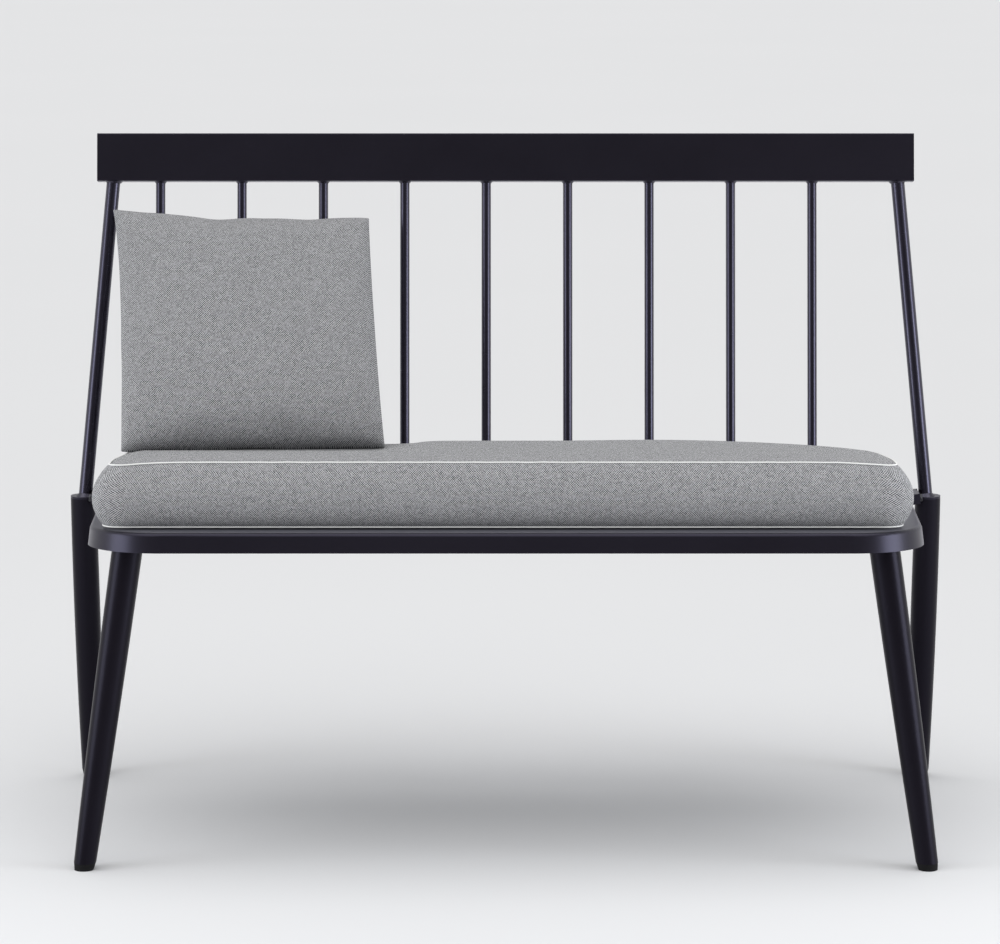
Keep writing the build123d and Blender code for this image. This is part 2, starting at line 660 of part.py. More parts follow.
def pillow_block(inset, edge_inset):
    """The pillow round its own centre, x across, y up its height, z out of its face."""
    half_thickness = PILLOW_THICKNESS / 2 - inset
    sections = []
    for i in range(-PILLOW_LAYERS, PILLOW_LAYERS + 1):
        share = math.sin(math.pi / 2 * i / PILLOW_LAYERS) * PILLOW_CROWN_STOP
        spread = math.sqrt(1 - abs(share) ** PILLOW_FULLNESS)
        section = RectangleRounded(
            (PILLOW_WIDTH - 2 * edge_inset) * spread,
            (PILLOW_HEIGHT - 2 * edge_inset) * spread,
            (PILLOW_CORNER_RADIUS - inset) * spread,
        )
        sections.append(Pos(0, 0, share * half_thickness) * section)
    return loft(sections, ruled=True)


def lean_pillow(block):
    """Stand the pillow on the cushion and lean it on the rods, clear of both by the soft gap."""
    lean = math.radians(PILLOW_LEAN)
    upright = Plane(
        origin=(PILLOW_CENTRE_X, 0, 0),
        x_dir=(1, 0, 0),
        z_dir=(0, -math.cos(lean), math.sin(lean)),
    )
    outer = upright * pillow_block(0, 0)
    floor_gap = SOFT_GAP - CUSHION_TOP.to_local_coords(outer).bounding_box().min.Z
    rod_face = SPINDLE_DIAMETER / 2 + SOFT_GAP
    back_gap = rod_face - BACK_PLANE.to_local_coords(outer).bounding_box().min.Z
    floor, back = CUSHION_TOP.z_dir, BACK_PLANE.z_dir
    cross = floor.Y * back.Z - floor.Z * back.Y
    move_y = (floor_gap * back.Z - back_gap * floor.Z) / cross
    move_z = (floor.Y * back_gap - back.Y * floor_gap) / cross
    return Pos(0, move_y, move_z) * (upright * block)


# ------------------------------------------------------------------ the assembly
nodes = {}


def add_pair(name, right_hand):
    """A right-hand piece and its mirror image."""
    nodes[name + "_left"] = mirror(right_hand, about=Plane.YZ)
    nodes[name + "_right"] = right_hand


def add_group(name, right_hand):
    """Right-hand pieces and their mirror images in one node."""
    nodes[name] = group(right_hand + [mirror(shape, about=Plane.YZ) for shape in right_hand])


nodes["seat_pan"] = seat_pan()
nodes["stiffener_left"] = stiffener(-STIFFENER_SPACING)
nodes["stiffener_centre"] = stiffener(0)
nodes["stiffener_right"] = stiffener(STIFFENER_SPACING)
nodes["spindle_strip"] = spindle_strip()

add_pair("corner_box", corner_box())
add_pair("front_leg_plate", front_leg_plate())
add_pair("front_leg", front_leg())
add_group("front_leg_welds", [front_leg_weld()])
LEG_GRIP = LEG_PLATE_THICKNESS + CORNER_BOX_WALL
add_group("front_leg_bolts", [bolt(plane, LEG_GRIP) for plane in leg_bolt_planes(LEG_PLATE_BOTTOM)])
NUT_SEAT = LEG_PLATE_TOP + CORNER_BOX_WALL
add_group("front_leg_nuts", [nut(plane) for plane in leg_bolt_planes(NUT_SEAT)])

add_pair("rear_leg", rear_leg())
add_pair("rear_leg_cap", rear_leg_cap())
add_pair("rear_bracket", rear_bracket())
add_group("rear_bracket_bolts", [rear_bracket_bolt()])
add_group("rear_bracket_nuts", [rear_bracket_nut()])

PLUG_INSET = LEG_WALL + GLIDE_PLUG_CLEARANCE
add_pair(
    "glide_front",
    glide(FRONT_LEG_FOOT, FRONT_LEG_TOP, FRONT_LEG_FOOT_DIAMETER, front_leg_blank(PLUG_INSET)),
)
add_pair(
    "glide_rear",
    glide(REAR_LEG_FOOT, REAR_LEG_TOP, REAR_LEG_FOOT_DIAMETER, rear_leg_blank(PLUG_INSET)),
)

nodes["crest_rail"] = crest_rail()
add_pair("rail_end_cap", rail_end_cap())
add_pair("post", post())
for number, spindle_x in enumerate(SPINDLE_XS, start=1):
    nodes[f"spindle_{number}"] = spindle(spindle_x)
nodes["rail_welds"] = rail_welds()
nodes["pan_welds"] = pan_welds()
nodes["post_welds"] = post_welds()

nodes["cushion_cover"] = cushion_block(0) - cushion_block(COVER_THICKNESS)
nodes["cushion_foam"] = cushion_block(COVER_THICKNESS + FILLING_GAP)
nodes["cushion_piping_top"] = top_piping()
nodes["cushion_piping_bottom"] = bottom_piping()

pillow = pillow_block(0, 0) - pillow_block(COVER_THICKNESS, PILLOW_SEAM_ALLOWANCE - FILLING_GAP)
nodes["pillow_cover"] = lean_pillow(pillow)
nodes["pillow_insert"] = lean_pillow(pillow_block(COVER_THICKNESS + FILLING_GAP, PILLOW_SEAM_ALLOWANCE))

# The origin goes to the floor at the centre of the bench's footprint
boxes = [shape.bounding_box() for shape in nodes.values()]
low_x = min(box.min.X for box in boxes)
high_x = max(box.max.X for box in boxes)
low_y = min(box.min.Y for box in boxes)
high_y = max(box.max.Y for box in boxes)
shift = Pos(-(low_x + high_x) / 2, -(low_y + high_y) / 2, 0)
for name, shape in nodes.items():
    export_step(shift * shape, f"parts/{name}.step")

print("nodes", len(nodes))
print("size", high_x - low_x, high_y - low_y, max(box.max.Z for box in boxes))
print("moved by", shift.position)
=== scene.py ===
import math

import bmesh
import bpy
import numpy as np
from bpy.props import FloatProperty, FloatVectorProperty, IntProperty, PointerProperty
from mathutils.bvhtree import BVHTree
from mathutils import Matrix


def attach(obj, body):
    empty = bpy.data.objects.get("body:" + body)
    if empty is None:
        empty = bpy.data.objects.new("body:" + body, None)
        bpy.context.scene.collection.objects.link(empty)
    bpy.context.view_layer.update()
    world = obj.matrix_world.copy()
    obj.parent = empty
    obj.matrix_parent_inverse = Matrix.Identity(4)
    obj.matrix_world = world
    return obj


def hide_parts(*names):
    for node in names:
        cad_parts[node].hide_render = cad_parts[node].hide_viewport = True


bl_info = {
    "name": "Spindle-back Bench",
    "version": (1, 0, 0),
    "blender": (4, 5, 0),
    "location": "View3D > Sidebar > Bench",
    "description": "Dresses the packed bench frame with its finishes, its box cushion and its throw pillow",
    "category": "Object",
}

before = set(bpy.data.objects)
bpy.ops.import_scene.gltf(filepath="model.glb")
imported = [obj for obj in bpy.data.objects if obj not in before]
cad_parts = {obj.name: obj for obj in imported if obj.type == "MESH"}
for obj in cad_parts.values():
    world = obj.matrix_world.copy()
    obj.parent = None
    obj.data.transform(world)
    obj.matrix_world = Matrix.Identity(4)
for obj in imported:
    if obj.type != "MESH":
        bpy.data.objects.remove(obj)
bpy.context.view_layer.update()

RAIL = ("crest_rail", "rail_end_cap_left", "rail_end_cap_right")
RODS = (
    "post_left", "post_right", "rail_welds", "post_welds",
    *(f"spindle_{number}" for number in range(1, 10)),
)
SEAT = (
    "seat_pan", "stiffener_left", "stiffener_centre", "stiffener_right", "spindle_strip",
    "corner_box_left", "corner_box_right", "pan_welds",
)
LEGS = ("front_leg_left", "front_leg_right", "front_leg_welds", "rear_leg_left", "rear_leg_right")
PLATES = (
    "front_leg_plate_left", "front_leg_plate_right", "rear_leg_cap_left", "rear_leg_cap_right",
    "rear_bracket_left", "rear_bracket_right",
)
FASTENERS = ("front_leg_bolts", "front_leg_nuts", "rear_bracket_bolts", "rear_bracket_nuts")
GLIDES = ("glide_front_left", "glide_front_right", "glide_rear_left", "glide_rear_right")

# Sewing and filling, in metres
FILL_STEPS = 20            # steps of the cloth simulation that fills a cover
CUSHION_PRESSURE = 4.0
CLEARANCE = 0.0008         # between the cushion and the pillow that presses it
UNDERSIDE_GAP = 0.0003     # between the cushion and the seat
ROLLED_EDGE = 0.02         # how far in the underside rolls up to its seam
DROOP_REACH = 0.05         # how far from a corner its seam droops
FOLD_INSET = 0.014         # from a seam to the deepest part of its folds
FOLD_WIDTH = 0.012
FOLD_LENGTHS = (0.046, 0.31)
CROWN_CURVE = 0.75         # lower is fuller towards the seams
PULL_CURVE = 2.5           # higher keeps the pull of a pillow's edge nearer its corners
FOOT_BAND = 0.02           # height of the pillow's foot, which rests in the cushion

# Camera
LENS = 144.0
SENSOR = 36.0
CAMERA_PLACE = (-0.00759, -5.1739, 1.3335)
CAMERA_TILT = 80.463       # degrees up from straight down


# ---------------------------------------------------------------- shader building

class Value:
    """A number that varies over a surface. Arithmetic on it adds Math nodes to its finish."""

    def __init__(self, finish, socket):
        self.finish = finish
        self.socket = socket

    def maths(self, operation, *others):
        sockets = dict(enumerate((self, *others)))
        return self.finish.node("ShaderNodeMath", {"operation": operation}, sockets)

    def __add__(self, other):
        return self.maths("ADD", other)

    def __radd__(self, other):
        return self.maths("ADD", other)

    def __sub__(self, other):
        return self.maths("SUBTRACT", other)

    def __rsub__(self, other):
        return (self * -1) + other

    def __mul__(self, other):
        return self.maths("MULTIPLY", other)

    def __rmul__(self, other):
        return self.maths("MULTIPLY", other)

    def __truediv__(self, other):
        return self.maths("DIVIDE", other)

    def __mod__(self, other):
        return self.maths("FLOORED_MODULO", other)

    def __pow__(self, other):
        return self.maths("POWER", other)

    def __abs__(self):
        return self.maths("ABSOLUTE")

    def __lt__(self, other):
        return self.maths("LESS_THAN", other)


class Shading:
    """The nodes of a material or a world, up to its shader."""

    def __init__(self, owner, shader, **constants):
        owner.use_nodes = True
        self.owner = owner
        self.tree = owner.node_tree
        self.shader = self.tree.nodes[shader]
        for socket_name, value in constants.items():
            self.shader.inputs[socket_name.replace("_", " ")].default_value = value

    def feed(self, socket, value):
        """Give a socket a link where the value varies, and a plain value where it doesn't."""
        if isinstance(value, Value):
            self.tree.links.new(value.socket, socket)
        else:
            socket.default_value = value

    def node(self, kind, settings=None, sockets=None, out=0):
        """Any node, from its type, its settings, and the values or links of its sockets."""
        made = self.tree.nodes.new(kind)
        for name, value in (settings or {}).items():
            setattr(made, name, value)
        for key, value in (sockets or {}).items():
            self.feed(made.inputs[key], value)
        return Value(self, made.outputs[out])

    def surface(self, **inputs):
        """Feed the shader's own sockets with what changes over the surface."""
        for socket_name, value in inputs.items():
            self.feed(self.shader.inputs[socket_name.replace("_", " ")], value)
        return self.owner


class Finish(Shading):
    """A material being made."""

    def __init__(self, name, **constants):
        super().__init__(bpy.data.materials.new(name), "Principled BSDF", **constants)

    def place(self):
        """The point on the piece, in metres."""
        return self.node("ShaderNodeTexCoord", out=3)

    def noise(self, vector, scale, detail=2.0, roughness=0.5):
        sockets = {"Vector": vector, "Scale": scale, "Detail": detail, "Roughness": roughness}
        return self.node("ShaderNodeTexNoise", None, sockets)

    def mix(self, factor, first, second):
        """A colour between two colours."""
        return self.node("ShaderNodeMix", {"data_type": "RGBA"}, {0: factor, 6: first, 7: second}, out=2)

    def bump(self, height, depth, strength=1.0):
        """A normal for relief whose height of 1 stands for this depth, in metres."""
        sockets = {"Height": height, "Distance": depth, "Strength": strength}
        return self.node("ShaderNodeBump", None, sockets)

    def spread(self, value, low, high):
        """Stretch a value's low to high range over 0 to 1."""
        sockets = {"Value": value, "From Min": low, "From Max": high}
        return self.node("ShaderNodeMapRange", {"clamp": True}, sockets)


def powder_coat(name, colour, roughness, pebble, shine, sheen):
    """Satin powder coat: a faint pebbled skin, with a little cloudiness in its colour and gloss."""
    finish = Finish(
        name, Specular_IOR_Level=shine, Specular_Tint=(0.74, 0.71, 1.0, 1.0),
        Sheen_Weight=sheen, Sheen_Roughness=0.35, Sheen_Tint=(0.86, 0.84, 0.96, 1.0),
    )
    place = finish.place()
    cloud = finish.noise(place, 9.0, 3.0)
    pebbles = finish.noise(place, 1.0 / pebble, 2.0)
    dust = finish.spread(finish.noise(place, 160.0, 4.0, 0.7), 0.62, 0.82)
    deep = (colour[0] * 0.8, colour[1] * 0.8, colour[2] * 0.8, 1.0)
    pale = (colour[0] * 1.25, colour[1] * 1.25, colour[2] * 1.25, 1.0)
    dusty = (colour[0] * 2.2 + 0.004, colour[1] * 2.2 + 0.004, colour[2] * 2.1 + 0.004, 1.0)
    tone = finish.mix(dust * 0.35, finish.mix(cloud, deep, pale), dusty)
    return finish.surface(
        Base_Color=tone,
        Roughness=cloud * 0.08 + pebbles * 0.04 + dust * 0.1 + (roughness - 0.06),
        Normal=finish.bump(pebbles, 0.0001, 0.3),
    )


def blackened_steel(name, colour):
    """Blackened zinc on turned fasteners: fine tool marks and worn, brighter spots."""
    finish = Finish(name)
    place = finish.place()
    wear = finish.spread(finish.noise(place, 240.0, 5.0, 0.65), 0.5, 0.75)
    marks = finish.noise(place, 1900.0, 1.0)
    dark = (*colour[:3], 1.0)
    bright = (colour[0] * 3.2, colour[1] * 3.2, colour[2] * 3.1, 1.0)
    return finish.surface(
        Base_Color=finish.mix(wear, dark, bright),
        Metallic=1.0 - wear * 0.15,
        Roughness=0.5 - wear * 0.14 + marks * 0.08,
        Normal=finish.bump(marks, 0.00005, 0.4),
    )


def moulded_plastic(name, colour):
    """Matt moulded plastic with a spark-eroded grain, scuffed paler where it meets the floor."""
    finish = Finish(name, Specular_IOR_Level=0.15)
    place = finish.place()
    grain = finish.noise(place, 1300.0, 2.0)
    height = finish.node("ShaderNodeSeparateXYZ", None, {0: place}, out=2)
    scuffs = finish.spread(finish.noise(place, 420.0, 4.0, 0.7), 0.52, 0.7)
    low = 1.0 - finish.spread(height, 0.0, 0.005)
    dark = (*colour[:3], 1.0)
    pale = (colour[0] * 4, colour[1] * 4, colour[2] * 4, 1.0)
    return finish.surface(
        Base_Color=finish.mix(scuffs * low, dark, pale),
        Roughness=0.62 + grain * 0.12,
        Normal=finish.bump(grain, 0.00008, 0.5),
    )


def tweed(name, colour, contrast, pitch):
    """Salt-and-pepper plain weave: dark warp over light weft, each float of its own tone, with fuzz, and
    painted shade in the dips between yarns.
    """
    finish = Finish(name, Roughness=0.92, Specular_IOR_Level=0.12, Sheen_Weight=0.1, Sheen_Roughness=0.5)
    cloth = finish.node("ShaderNodeUVMap", {"uv_map": "weave"})
    sway = finish.noise(cloth, 90.0, 2.0)
    across = finish.node("ShaderNodeSeparateXYZ", None, {0: cloth}, out=0) / pitch + sway * 2.0
    along = finish.node("ShaderNodeSeparateXYZ", None, {0: cloth}, out=1) / pitch - sway * 1.4
    column = across.maths("FLOOR")
    row = along.maths("FLOOR")
    cell = finish.node("ShaderNodeCombineXYZ", None, {0: column, 1: row, 2: 1.5})
    float_tone = finish.node("ShaderNodeTexWhiteNoise", {"noise_dimensions": "3D"}, {0: cell})
    over = ((column + row) % 2.0) < 0.5
    warp_round = 1.0 - abs(across.maths("FRACT") * 2.0 - 1.0) ** 2.0
    weft_round = 1.0 - abs(along.maths("FRACT") * 2.0 - 1.0) ** 2.0
    relief = over * warp_round + (1.0 - over) * weft_round
    cloud = finish.noise(cloth, 22.0, 3.0)
    fuzz = finish.noise(cloth, 2200.0, 2.0)
    # The yarns' relief is painted shade in the colour: darker in the dips between yarns, lighter on their
    # crowns.
    shade = (
        (over - 0.5) * contrast * 0.72 + (float_tone - 0.5) * contrast * 0.5 + 0.5
        + (cloud - 0.5) * 0.06 + (fuzz - 0.5) * 0.2 + (relief - 0.6) * 0.1
    )
    dark = (colour[0] * 0.16, colour[1] * 0.16, colour[2] * 0.17, 1.0)
    light = (colour[0] * 1.84, colour[1] * 1.84, colour[2] * 1.83, 1.0)
    return finish.surface(
        Base_Color=finish.mix(finish.spread(shade, 0.0, 1.0), dark, light),
        Normal=finish.bump(relief * 0.8 + fuzz * 0.4, 0.0003, 0.5),
    )


def cotton_piping(name, colour):
    """Tightly woven white cotton over a cord."""
    finish = Finish(name, Roughness=0.85, Specular_IOR_Level=0.2, Sheen_Weight=0.1)
    place = finish.place()
    threads = finish.noise(place, 1500.0, 2.0)
    soil = finish.noise(place, 30.0, 3.0)
    clean = (*colour[:3], 1.0)
    greyed = (colour[0] * 0.82, colour[1] * 0.82, colour[2] * 0.8, 1.0)
    return finish.surface(
        Base_Color=finish.mix(soil * 0.6 + threads * 0.3, clean, greyed),
        Normal=finish.bump(threads, 0.0003, 0.6),
    )


# ---------------------------------------------------------------- handling of meshes

def start_clean():
    """Leave edit mode and deselect everything."""
    if bpy.context.mode != "OBJECT":
        bpy.ops.object.mode_set(mode="OBJECT")
    bpy.ops.object.select_all(action="DESELECT")


def take(piece):
    """Make one piece the selected and active one."""
    start_clean()
    piece.select_set(True)
    bpy.context.view_layer.objects.active = piece


def points_of(piece):
    """A mesh's vertices, as rows of x, y and z."""
    flat = np.empty(len(piece.data.vertices) * 3, np.float32)
    piece.data.vertices.foreach_get("co", flat)
    return flat.reshape(-1, 3).astype(float)


def set_points(piece, points):
    piece.data.vertices.foreach_set("co", points.astype(np.float32).ravel())
    piece.data.update()


def apply_modifier(piece, kind, **settings):
    """Add a modifier, set it and apply it."""
    take(piece)
    modifier = piece.modifiers.new(kind.title(), kind)
    for name, value in settings.items():
        setattr(modifier, name, value)
    bpy.ops.object.modifier_apply(modifier=modifier.name)


def coat(names, material):
    """Give CAD nodes their finish."""
    for name in names:
        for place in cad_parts[name].material_slots:
            place.link = "OBJECT"
            place.material = material


def cut_edges(axis, cuts):
    """In edit mode, cut every edge that runs along an axis into equal lengths."""
    mesh = bpy.context.edit_object.data
    cage = bmesh.from_edit_mesh(mesh)
    for part in (*cage.verts, *cage.edges, *cage.faces):
        part.select = False
    for edge in cage.edges:
        run = edge.verts[1].co - edge.verts[0].co
        edge.select = abs(run[axis]) > 0.99 * run.length
    cage.select_mode = {"EDGE"}
    cage.select_flush_mode()
    bmesh.update_edit_mesh(mesh)
    bpy.ops.mesh.subdivide(number_cuts=cuts)


def gridded_box(name, size, cells):
    """A box of the given size round the origin, each face cut into a grid of cells."""
    start_clean()
    bpy.ops.mesh.primitive_cube_add(size=1.0)
    piece = bpy.context.object
    piece.name = piece.data.name = name
    bpy.ops.object.mode_set(mode="EDIT")
    bpy.ops.transform.resize(value=size)
    bpy.context.tool_settings.mesh_select_mode = (False, True, False)
    for axis in (2, 1, 0):
        count = cells[axis]
        if count > 100:
            cut_edges(axis, 1)
            count = count // 2
        if count > 1:
            cut_edges(axis, count - 1)
    bpy.ops.object.mode_set(mode="OBJECT")
    return piece


def pinned(piece, weights):
    """A vertex group that holds points of a cloth in place."""
    group = piece.vertex_groups.new(name="held")
    for level in np.unique(weights):
        if level > 0:
            group.add(np.nonzero(weights == level)[0].tolist(), float(level), "REPLACE")
    return group.name


def inflate(piece, pressure, frames, held=None, tension=15.0, bending=0.5):
    """Fill a closed cover with air by cloth simulation and keep the shape that it takes."""
    take(piece)
    modifier = piece.modifiers.new("Cloth", "CLOTH")
    cloth = modifier.settings
    cloth.quality = 6
    cloth.mass = 0.3
    cloth.tension_stiffness = tension
    cloth.compression_stiffness = tension
    cloth.shear_stiffness = tension * 0.5
    cloth.bending_stiffness = bending
    cloth.use_pressure = True
    cloth.uniform_pressure_force = pressure
    cloth.effector_weights.gravity = 0.0
    modifier.collision_settings.use_collision = False
    if held:
        cloth.vertex_group_mass = held
    modifier.point_cache.frame_start = 1
    modifier.point_cache.frame_end = frames
    for step in range(1, frames + 1):
        bpy.context.scene.frame_set(step)
    bpy.ops.object.modifier_apply(modifier=modifier.name)
    bpy.context.scene.frame_set(1)


def weave_map(piece, coordinates):
    """Lay the cloth's own map, in metres, on a piece: one pair of numbers for each face corner."""
    layer = piece.data.uv_layers.new(name="weave")
    layer.data.foreach_set("uv", coordinates.astype(np.float32).ravel())


def corner_vertices(piece):
    """The vertex number of each face corner, four to a face."""
    loops = np.empty(len(piece.data.loops), np.int32)
    piece.data.loops.foreach_get("vertex_index", loops)
    return loops.reshape(-1, 4)


def upper_face(name):
    """The widest upward face of a CAD node: its normal and its distance from the origin."""
    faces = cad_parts[name].data.polygons
    normals = np.empty(len(faces) * 3, np.float32)
    centres = np.empty(len(faces) * 3, np.float32)
    areas = np.empty(len(faces), np.float32)
    faces.foreach_get("normal", normals)
    faces.foreach_get("center", centres)
    faces.foreach_get("area", areas)
    normals = normals.reshape(-1, 3).astype(float)
    widest = int(np.argmax(areas * (normals[:, 2] > 0.9)))
    return normals[widest], float(centres.reshape(-1, 3)[widest].astype(float) @ normals[widest])


class Bed:
    """A flat place with its own directions: across, back and up, from an origin."""

    def __init__(self, across, back, up, origin):
        self.axes = np.array((across, back, up))
        self.origin = np.array(origin)

    def local(self, points):
        return (points - self.origin) @ self.axes.T

    def world(self, points):
        return points @ self.axes + self.origin


def seat_bed():
    """The seat pan's top as a bed."""
    up, distance = upper_face("seat_pan")
    across = np.array((1.0, 0.0, 0.0))
    return Bed(across, np.cross(up, across), up, up * distance)


def pillow_bed():
    """The pillow's middle plane as a bed whose back is the pillow's height and whose up is its face."""
    points = points_of(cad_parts["pillow_cover"])
    face = np.linalg.eigh(np.cov((points - points.mean(0)).T))[1][:, 0]
    face = face if face[1] < 0 else -face
    face[0] = 0.0
    face /= np.linalg.norm(face)
    across = np.array((1.0, 0.0, 0.0))
    height = np.cross(face, across)
    bed = Bed(across, height, face, (0.0, 0.0, 0.0))
    local = bed.local(points)
    middle = (local.min(0) + local.max(0)) / 2
    bed.origin = bed.world(middle)
    return bed, (local.max(0) - local.min(0)) / 2


def ripple(distance, wavelength, seed):
    """A smooth irregular wave from -1 to 1, the same on each run."""
    turn = 2 * math.pi * distance / wavelength
    slow = 0.55 * np.sin(turn + seed)
    quick = 0.3 * np.sin(1.73 * turn + 2.1 * seed)
    return slow + quick + 0.15 * np.sin(2.91 * turn + 0.7)


# ---------------------------------------------------------------- sizes and colours

class FrameSettings(bpy.types.PropertyGroup):
    """The metal frame's finishes."""

    paint: FloatVectorProperty(
        name="Paint", description="Colour of the powder coat", subtype="COLOR", size=3, min=0.0, max=1.0,
        default=(0.0048, 0.0038, 0.0056),
    )
    gloss: FloatProperty(
        name="Flat roughness", description="Roughness of the powder coat on pressed and flat pieces",
        subtype="FACTOR", min=0.05, max=1.0, default=0.33,
    )
    rod_gloss: FloatProperty(
        name="Rod roughness", description="Roughness of the powder coat on the rods and posts",
        subtype="FACTOR", min=0.05, max=1.0, default=0.25,
    )
    pebble: FloatProperty(
        name="Pebble", description="Width of the pebbles in the powder coat's skin", unit="LENGTH",
        min=0.0003, max=0.01, default=0.0016,
    )
    shine: FloatProperty(
        name="Flat shine", description="Specular level of the powder coat on pressed and flat pieces",
        subtype="FACTOR", min=0.0, max=1.0, default=0.42,
    )
    leg_shine: FloatProperty(
        name="Leg shine", description="Specular level of the powder coat on the legs", subtype="FACTOR",
        min=0.0, max=1.0, default=0.16,
    )
    rod_shine: FloatProperty(
        name="Rod shine", description="Specular level of the powder coat on the rods and posts",
        subtype="FACTOR", min=0.0, max=1.0, default=0.75,
    )
    sheen: FloatProperty(
        name="Sheen", description="Pale sheen of the powder coat's skin on pressed and flat pieces",
        subtype="FACTOR", min=0.0, max=1.0, default=0.22,
    )
    steel: FloatVectorProperty(
        name="Fasteners", description="Colour of the blackened bolts and nuts", subtype="COLOR", size=3,
        min=0.0, max=1.0, default=(0.05, 0.05, 0.055),
    )
    plastic: FloatVectorProperty(
        name="Glides", description="Colour of the plastic glides", subtype="COLOR", size=3, min=0.0,
        max=1.0, default=(0.006, 0.0058, 0.0064),
    )


class CushionSettings(bpy.types.PropertyGroup):
    """The box cushion and its piping."""

    crown: FloatProperty(
        name="Crown", description="How far the top rises over its seams", unit="LENGTH", min=0.0, max=0.04,
        default=0.021,
    )
    bulge: FloatProperty(
        name="Bulge", description="How far the boxing stands out between its seams", unit="LENGTH", min=0.0,
        max=0.03, default=0.018,
    )
    side_cap: FloatProperty(
        name="Boxing cap", description="How far the filling may push the boxing beyond its cut",
        unit="LENGTH", min=0.0, max=0.01, default=0.002,
    )
    top_inset: FloatProperty(
        name="Top seam inset", description="How far the top seam lies inside the cushion's sides",
        unit="LENGTH", min=0.0, max=0.03, default=0.020,
    )
    bottom_inset: FloatProperty(
        name="Bottom seam inset", description="How far the bottom seam lies inside the cushion's sides",
        unit="LENGTH", min=0.0, max=0.03, default=0.012,
    )
    corner: FloatProperty(
        name="Corner radius", description="Radius of the seams' corners in plan", unit="LENGTH", min=0.005,
        max=0.1, default=0.024,
    )
    front_seam: FloatProperty(
        name="Front seam height", description="Height of the top seam over the seat at the front",
        unit="LENGTH", min=0.02, max=0.12, default=0.085,
    )
    rear_seam: FloatProperty(
        name="Rear seam height", description="Height of the top seam over the seat at the back",
        unit="LENGTH", min=0.02, max=0.12, default=0.057,
    )
    bottom_seam: FloatProperty(
        name="Bottom seam height", description="Height of the bottom seam over the seat", unit="LENGTH",
        min=0.0, max=0.02, default=0.004,
    )
    pucker: FloatProperty(
        name="Pucker", description="Depth of the small folds beside the seams", unit="LENGTH", min=0.0,
        max=0.004, default=0.0007,
    )
    dent: FloatProperty(
        name="Dent", description="How far in front of the pillow the cushion gives way", unit="LENGTH",
        min=0.02, max=0.3, default=0.14,
    )
    dent_side: FloatProperty(
        name="Dent beside", description="How far beside and behind the pillow the cushion gives way",
        unit="LENGTH", min=0.01, max=0.3, default=0.03,
    )
    pressed: FloatProperty(
        name="Pressed crown", description="What is left of the crown at the pillow's foot", unit="LENGTH",
        min=0.0, max=0.02, default=0.005,
    )
    droop: FloatProperty(
        name="Droop", description="How far the top seam sinks at its corners", unit="LENGTH", min=0.0,
        max=0.01, default=0.004,
    )
    cell: FloatProperty(
        name="Cell", description="Width of the cells of the cover's mesh", unit="LENGTH", min=0.004,
        max=0.02, default=0.008,
    )
    cord_radius: FloatProperty(
        name="Piping radius", description="Radius of the piping in the seams", unit="LENGTH", min=0.0005,
        max=0.004, default=0.0010,
    )
    fabric: FloatVectorProperty(
        name="Fabric", description="Mean colour of the tweed", subtype="COLOR", size=3, min=0.0, max=1.0,
        default=(0.245, 0.245, 0.25),
    )
    contrast: FloatProperty(
        name="Contrast", description="Difference between the light and the dark yarns", min=0.0, max=3.0,
        default=1.5,
    )
    pitch: FloatProperty(
        name="Yarn pitch", description="Width of one yarn", unit="LENGTH", min=0.0003, max=0.01,
        default=0.0014,
    )
    piping: FloatVectorProperty(
        name="Piping", description="Colour of the cotton piping", subtype="COLOR", size=3, min=0.0, max=1.0,
        default=(0.8, 0.8, 0.79),
    )


class PillowSettings(bpy.types.PropertyGroup):
    """The throw pillow."""

    cells: IntProperty(
        name="Cells", description="Cells along each side of the pillow's mesh", min=16, max=100, default=56,
    )
    pressure: FloatProperty(
        name="Pressure", description="Air pressure that fills the pillow", min=0.5, max=40.0, default=3.0,
    )
    fullness: FloatProperty(
        name="Fullness", description="Lower is fuller towards the edges", min=0.3, max=1.5, default=0.62,
    )
    folds: FloatProperty(
        name="Folds", description="How much of the filling's own unevenness stays in the face",
        subtype="FACTOR", min=0.0, max=1.0, default=0.4,
    )
    width: FloatProperty(
        name="Width", description="Width between the corners", unit="LENGTH", min=0.2, max=0.6,
        default=0.348,
    )
    height: FloatProperty(
        name="Height", description="Height between the corners", unit="LENGTH", min=0.2, max=0.6,
        default=0.3445,
    )
    top_left: FloatVectorProperty(
        name="Top left", description="Upper left corner, across and up from the middle", subtype="XYZ",
        size=2, unit="LENGTH", default=(-0.179, 0.175),
    )
    ear: FloatVectorProperty(
        name="Ear", description="How far the upper left corner stands out, across and up", subtype="XYZ",
        size=2, unit="LENGTH", default=(-0.0065, 0.0045),
    )
    top_right: FloatVectorProperty(
        name="Top right", description="Upper right corner, across and up from the middle", subtype="XYZ",
        size=2, unit="LENGTH", default=(0.162, 0.166),
    )
    bottom_left: FloatVectorProperty(
        name="Bottom left", description="Lower left corner, across and up from the middle", subtype="XYZ",
        size=2, unit="LENGTH", default=(-0.1615, -0.179),
    )
    bottom_right: FloatVectorProperty(
        name="Bottom right", description="Lower right corner, across and up from the middle", subtype="XYZ",
        size=2, unit="LENGTH", default=(0.1875, -0.173),
    )
    pull_top: FloatProperty(
        name="Top pull", description="How far the top edge is drawn in", unit="LENGTH", min=0.0, max=0.03,
        default=0.0115,
    )
    pull_side: FloatProperty(
        name="Side pull", description="How far the two side edges are drawn in", unit="LENGTH", min=0.0,
        max=0.03, default=0.0025,
    )
    pull_bottom: FloatProperty(
        name="Bottom pull", description="How far the bottom edge is drawn in", unit="LENGTH", min=0.0,
        max=0.03, default=0.001,
    )
    fabric: FloatVectorProperty(
        name="Fabric", description="Mean colour of the tweed", subtype="COLOR", size=3, min=0.0, max=1.0,
        default=(0.245, 0.245, 0.25),
    )


